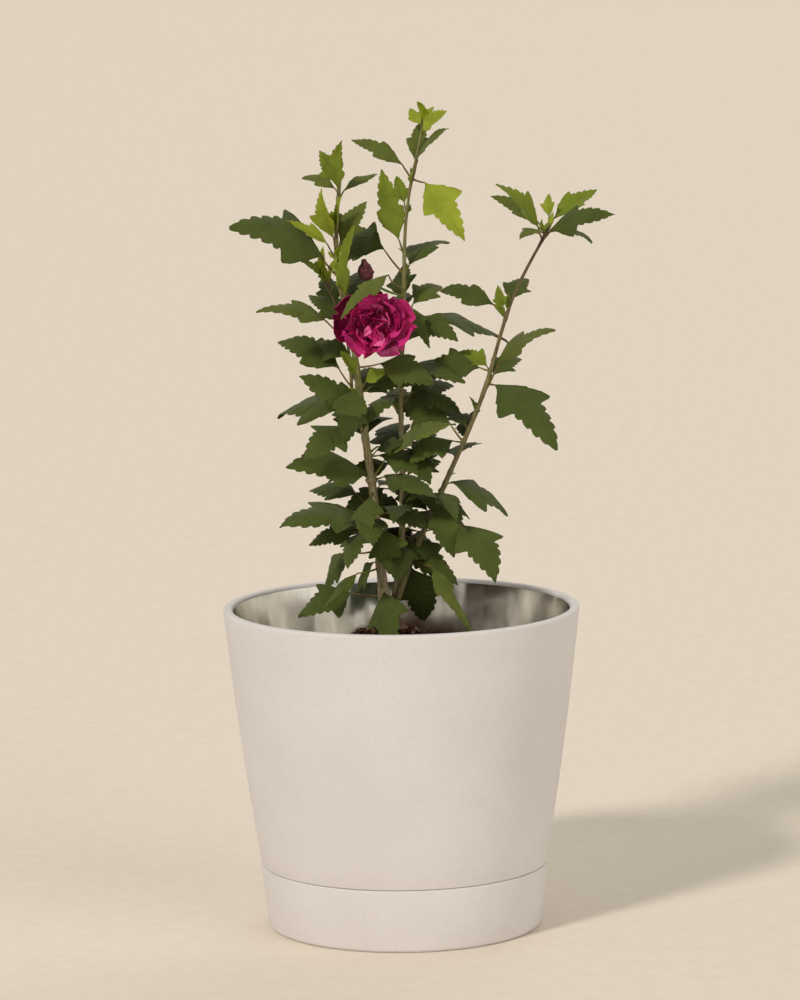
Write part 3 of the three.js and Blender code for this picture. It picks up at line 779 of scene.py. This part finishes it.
def petal(draw, length, width, lean_foot, lean_tip, ruffle):
    """A petal standing at the middle of a flower whose axis is +Z, leaning to +X."""
    along = np.linspace(0, 1, PETAL_ROWS)
    across = np.linspace(-1, 1, PETAL_COLUMNS)
    lean = np.radians(lean_foot + (lean_tip - lean_foot) * along ** 0.8)
    step = length / (PETAL_ROWS - 1)
    out = np.concatenate([[0], np.cumsum(np.sin(lean[1:]) * step)])
    rise = np.concatenate([[0], np.cumsum(np.cos(lean[1:]) * step)])
    spread = width / 2 * (0.16 + 0.84 * np.sin(math.pi / 2 * np.minimum(1, along * 1.3)) ** 1.2)
    spread *= np.sqrt(np.maximum(0.03, 1 - np.maximum(0, (along - 0.7) / 0.31) ** 2.2))
    y = spread[:, None] * across[None, :]
    folds = draw.choice((2.4, 3.6, 4.8))
    phase, second = draw.uniform(0, 6.3), draw.uniform(0, 6.3)
    wide = np.sin(folds * across[None, :] + phase)
    fine = 0.6 * np.sin(7 * across[None, :] + 4 * along[:, None] + second)
    crease = ruffle * along[:, None] ** 1.3 * (wide + fine)
    cup = 0.2 * width * (across[None, :] ** 2) * (0.35 + 0.65 * along[:, None])
    frill = 0.065 * length * np.sin(6 * across[None, :] + second) * along[:, None] ** 4
    lift = -(crease + cup)
    x = out[:, None] + np.cos(lean)[:, None] * lift + np.sin(lean)[:, None] * frill
    z = rise[:, None] - np.sin(lean)[:, None] * lift + np.cos(lean)[:, None] * frill
    return np.stack([x, y, z], axis=-1).reshape(-1, 3)


def sheet_faces(row_count, column_count):
    """Faces of a thin closed sheet: its top grid, its bottom grid and its edge."""
    size = row_count * column_count
    top = [[corner, corner + 1, corner + column_count + 1, corner + column_count]
           for i in range(row_count - 1) for corner in range(i * column_count, (i + 1) * column_count - 1)]
    bottom = [[corner + size for corner in face[::-1]] for face in top]
    rim = (list(range(column_count))
           + [i * column_count + column_count - 1 for i in range(1, row_count)]
           + [(row_count - 1) * column_count + j for j in range(column_count - 2, -1, -1)]
           + [i * column_count for i in range(row_count - 2, 0, -1)])
    return top + bottom + [[b, a, a + size, b + size] for a, b in zip(rim, rim[1:] + rim[:1])]


def thick_sheet(points, row_count, column_count, thickness):
    """A grid of points and its copy pushed back along its normals."""
    grid = points.reshape(row_count, column_count, 3)
    normal = np.cross(np.gradient(grid, axis=1), np.gradient(grid, axis=0))
    normal /= np.maximum(1e-9, np.linalg.norm(normal, axis=2, keepdims=True))
    return np.vstack([points, (grid + normal * thickness).reshape(-1, 3)])


def set_on(points, origin, axis, turn):
    """Turns a flower part about +Z, then stands it on an axis at an origin."""
    side = unit(np.cross((0, 0, 1), axis))
    basis = np.stack([side, np.cross(axis, side), axis], axis=1)
    return (points @ turned_about((0, 0, 1), turn).T) @ basis.T + origin


# Each ring of petals: count, length, width, lean at the foot and the tip, ruffle.
PETAL_RINGS = ((6, 37, 36, 38, 94, 2.0), (6, 34, 34, 24, 74, 3.0), (6, 29, 29, 12, 52, 4.2),
               (6, 25, 24, 4, 34, 4.8), (6, 21, 18, -2, 22, 4.2), (5, 17, 13, -4, 12, 3.0))
# Round the flower's own magenta these tones are painted light: near-black shade and crimson are painted shade
# towards the foot, and rose and cream are painted highlights at the margins.
PETAL_PAINT = (  # a petal's tones at its foot, its middle and its margin
    ("petal_painted_shade", (66, 0, 24), (96, 4, 42)), ("petal_crimson_shade", (134, 8, 62), (160, 26, 84)),
    ("petal_magenta", (194, 40, 116), (210, 62, 132)), ("petal_rose_highlight", (226, 90, 156), (234, 116, 174)),
    ("petal_cream_highlight", (250, 226, 228), (252, 238, 238)))
petal_looks = []
for name, colour, edge_colour in PETAL_PAINT:
    look, shade = new_material(name, Base_Color=paint(*colour), Roughness=0.6, Specular_IOR_Level=0.15)
    streak = shade.grain(260, 3).ramp(0.3, 0.7)
    wire(look, Base_Color=streak.mix(paint(*colour), paint(*edge_colour)), Roughness=0.55 + 0.15 * streak,
         relief=(shade.grain(700, 3), 0.0003))
    petal_looks.append(look)

draw = random.Random(11)
petals = Heap()
petal_faces = sheet_faces(PETAL_ROWS, PETAL_COLUMNS)
bloom_seat = BLOOM_CENTRE - BLOOM_AXIS * 12
for ring, (count, length, width, lean_foot, lean_tip, ruffle) in enumerate(PETAL_RINGS):
    for number in range(count):
        turn = 2 * math.pi * (number + 0.37 * ring) / count + draw.uniform(-0.16, 0.16)
        grown = length * draw.uniform(0.88, 1.06) * (1 - 0.14 * abs(math.sin(turn)))
        shape = petal(draw, grown, width * draw.uniform(0.8, 1.15), lean_foot + draw.uniform(-10, 10),
                      lean_tip + draw.uniform(-20, 10), ruffle * draw.uniform(0.7, 1.4))
        shape = shape @ turned_about((1, 0, 1.5), draw.uniform(-0.3, 0.3)).T
        shape = thick_sheet(shape, PETAL_ROWS, PETAL_COLUMNS, 0.3)
        # Painted light and shade: a petal's tones step from painted shade at its foot to painted highlight at
        # its margin, petals on one side of the flower are painted lighter than on the other, and each
        # underside is painted one tone darker as shade.
        painted_light_by_side = round(1.4 * math.cos(1.5 * turn - 0.8) - 0.4 + draw.uniform(-0.9, 0.9)) if ring < 5 else 1
        tones = [min(3, max(0, (row > 2) + (row > 6) + (row > 4 + 5 * draw.random()) * painted_light_by_side))
                 for row in range(PETAL_ROWS - 1) for _ in range(PETAL_COLUMNS - 1)]
        # The first two petals of the inmost ring get a painted cream highlight near their tips.
        if ring == 5 and number < 2:
            petal_row = np.repeat(range(PETAL_ROWS - 1), PETAL_COLUMNS - 1)
            tones = [4 if row > 7 else tone for row, tone in zip(petal_row, tones)]
        tones = tones + [max(0, tone - 1) for tone in tones]
        tones = tones + [2] * (len(petal_faces) - len(tones))
        petals.add(set_on(shape, bloom_seat, BLOOM_AXIS, turn), petal_faces, tones)
piece = petals.build("bloom_petals", *petal_looks)
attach(piece, "root")
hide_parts("bloom")

calyx_green, shade = new_material("calyx_green", Base_Color=paint(98, 116, 54), Roughness=0.6)
downy = shade.grain(300, 3).ramp(0.3, 0.7)
wire(calyx_green, Base_Color=downy.mix(paint(82, 98, 44), paint(122, 138, 70)),
     relief=(shade.grain(900, 2), 0.0002))


def cup_of_sepals(heap, origin, axis, count, length, width, lean, draw):
    """A ring of pointed sepals round the foot of a flower or bud."""
    for number in range(count):
        along = np.linspace(0, 1, 7)
        across = np.linspace(-1, 1, 5)
        bend = np.radians(lean * (1.5 - along))
        step = length / 6
        out = 1.5 + np.concatenate([[0], np.cumsum(np.sin(bend[1:]) * step)])
        rise = np.concatenate([[0], np.cumsum(np.cos(bend[1:]) * step)])
        half = width / 2 * np.sqrt(np.maximum(0, 1 - along ** 2)) + 0.02
        grid = np.stack([out[:, None] - 0.18 * width * across[None, :] ** 2, half[:, None] * across[None, :],
                         rise[:, None] * np.ones(5)], axis=-1)
        shape = thick_sheet(grid.reshape(-1, 3), 7, 5, 0.5)
        turn = 2 * math.pi * number / count + draw.uniform(-0.1, 0.1)
        heap.add(set_on(shape, origin, axis, turn), sheet_faces(7, 5))


calyx = Heap()
cup_of_sepals(calyx, bloom_seat - BLOOM_AXIS * 3, BLOOM_AXIS, 5, 15, 9, 32, draw)
cup_of_sepals(calyx, bloom_seat - BLOOM_AXIS * 4, BLOOM_AXIS, 8, 12, 1.8, 46, draw)
stalk_start = on_stem("middle", BLOOM_STALK_HEIGHT)
shares = np.linspace(0, 1, 12)[:, None]
calyx_back = bloom_seat - BLOOM_AXIS * 5
bloom_sag = np.array([0, 0, -4]) * np.sin(math.pi * shares)
bloom_path = stalk_start + (calyx_back - stalk_start) * shares + bloom_sag
calyx.add(*round_line(bloom_path, np.linspace(1.2, 1.9, 12), 9))
knob = np.linspace(-6, 3, 8)
knob_radii = 1.2 + 3.4 * np.sin(np.linspace(0.25, 2.4, 8))
calyx.add(*round_line(bloom_seat + knob[:, None] * BLOOM_AXIS, knob_radii, 14))

# ---- Bud ----
# A closed bud just above the bloom, purple-brown petals rolled tight in a green cup.
BUD_SEAT = np.array([-25, -14, 549])
BUD_AXIS = unit(np.array([-0.15, -0.2, 1]))
BUD_STALK_HEIGHT = 532
BUD_LENGTH = 14
BUD_RADIUS = 6
rolled = Heap()
bud_rows = np.linspace(0, 1, 16)
bud_sides = 30
bud_shape = np.empty((16, bud_sides))
for i, share in enumerate(bud_rows):
    for j in range(bud_sides):
        turn = 2 * math.pi * j / bud_sides
        pleat = 1 + 0.1 * math.sin(5 * turn + 5 * share) * share
        scale = 0.22 * noise.noise(Vector((2.5 * math.cos(turn), 2.5 * math.sin(turn), 7 * share)))
        swell = math.sin(math.pi * (0.16 + 0.82 * share)) ** 0.5
        bud_shape[i, j] = (0.3 + BUD_RADIUS * swell) * (pleat + scale)
rolled.add(*round_line(BUD_SEAT + BUD_LENGTH * bud_rows[:, None] * BUD_AXIS, bud_shape, bud_sides))
bud_petal, shade = new_material("bud_petal", Base_Color=paint(88, 42, 48), Roughness=0.7)
streak = shade.grain(420, 4, (1, 1, 0.4)).ramp(0.35, 0.65)
wire(bud_petal, Base_Color=streak.mix(paint(52, 24, 28), paint(122, 64, 70)), relief=(streak, 0.0012))
for lift, count, lean in ((2, 7, 20), (6, 6, 12), (9, 5, 2)):
    cup_of_sepals(rolled, BUD_SEAT + BUD_AXIS * lift, BUD_AXIS, count, 8, 6.5, lean, draw)
piece = rolled.build("bud_petals", bud_petal)
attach(piece, "root")
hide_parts("bud")
cup_of_sepals(calyx, BUD_SEAT - BUD_AXIS, BUD_AXIS, 5, 10, 7, 14, draw)
cup_of_sepals(calyx, BUD_SEAT - BUD_AXIS * 1.5, BUD_AXIS, 7, 8, 1.3, 26, draw)
bud_start = on_stem("middle", BUD_STALK_HEIGHT)
bud_path = bud_start + (BUD_SEAT - bud_start) * shares + np.array([0, 0, -2.5]) * np.sin(math.pi * shares)
calyx.add(*round_line(bud_path, np.linspace(0.9, 1.3, 12), 8))
piece = calyx.build("calyx_and_stalks", calyx_green)
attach(piece, "root")

# ---- Floor, light and camera ----
# A plain pale floor under soft warm studio light from the left, seen from a little
# above the rim with a long lens.
FLOOR_REACH = 260
VIEW_DISTANCE = 4.0
VIEW_ELEVATION = 8.26
VIEW_ROLL = -0.72
VIEW_TARGET = Vector((0, 0, 0.3614))
LENS = 171.8

bpy.ops.object.select_all(action="DESELECT")
bpy.ops.mesh.primitive_circle_add(vertices=96, radius=FLOOR_REACH, fill_type="NGON")
floor = bpy.context.object
floor.name = "floor"
pale_floor, shade = new_material("pale_floor", Base_Color=paint(226, 215, 200), Roughness=0.8)
wire(pale_floor, Base_Color=shade.grain(60, 3).ramp(0.3, 0.7).mix(paint(224, 213, 198), paint(229, 219, 205)))
floor.data.materials.append(pale_floor)

for name, toward, spread, power, colour in (
        ("key", (0.5, 0.66, -0.6), 8, 1.9, (1, 0.95, 0.88)),
        ("fill", (-0.7, 0.6, -0.4), 50, 1.0, (1, 0.95, 0.88)),
        ("back", (-0.3, -0.8, -0.5), 40, 0.4, (1, 0.96, 0.9))):
    light = bpy.data.lights.new(name, "SUN")
    light.energy = power
    light.angle = math.radians(spread)
    light.color = colour
    lamp = bpy.data.objects.new(name, light)
    lamp.rotation_euler = Vector(toward).to_track_quat("-Z", "Y").to_euler()
    lamp.visible_glossy = False
    bpy.context.collection.objects.link(lamp)

world = bpy.data.worlds.new("studio")
bpy.context.scene.world = world
world.use_nodes = True
air = Shade(world.node_tree)
toward = air.add("ShaderNodeTexCoord", output=0)
height = air.add("ShaderNodeSeparateXYZ", output=2, Vector=toward)
ahead = air.add("ShaderNodeVectorMath", {"operation": "DOT_PRODUCT"}, 1, i0=toward, i1=(0.5, -0.87, 0))
low_room = ahead.ramp(0.22, 0.36).mix(paint(42, 32, 20), paint(238, 232, 220))
high_room = ahead.ramp(0.05, 0.3).mix(paint(238, 232, 220), paint(52, 43, 31))
room = height.ramp(0.2, 0.26).mix(low_room, high_room)
room = height.ramp(0.6, 0.85).mix(room, paint(150, 151, 150))
world.node_tree.links.new(room.socket, world.node_tree.nodes["Background"].inputs["Color"])
world.node_tree.nodes["Background"].inputs["Strength"].default_value = 1.12
bpy.context.scene.view_settings.view_transform = "Standard"

elevation = math.radians(VIEW_ELEVATION)
view_from = Vector((0, -math.cos(elevation), math.sin(elevation)))
bpy.ops.object.camera_add(location=VIEW_TARGET + VIEW_DISTANCE * view_from)
camera = bpy.context.object
camera.data.lens = LENS
aim = (VIEW_TARGET - camera.location).to_track_quat("-Z", "Y").to_matrix()
aim.rotate(Quaternion(aim @ Vector((0, 0, 1)), math.radians(VIEW_ROLL)))
camera.rotation_euler = aim.to_euler()
bpy.context.scene.camera = camera
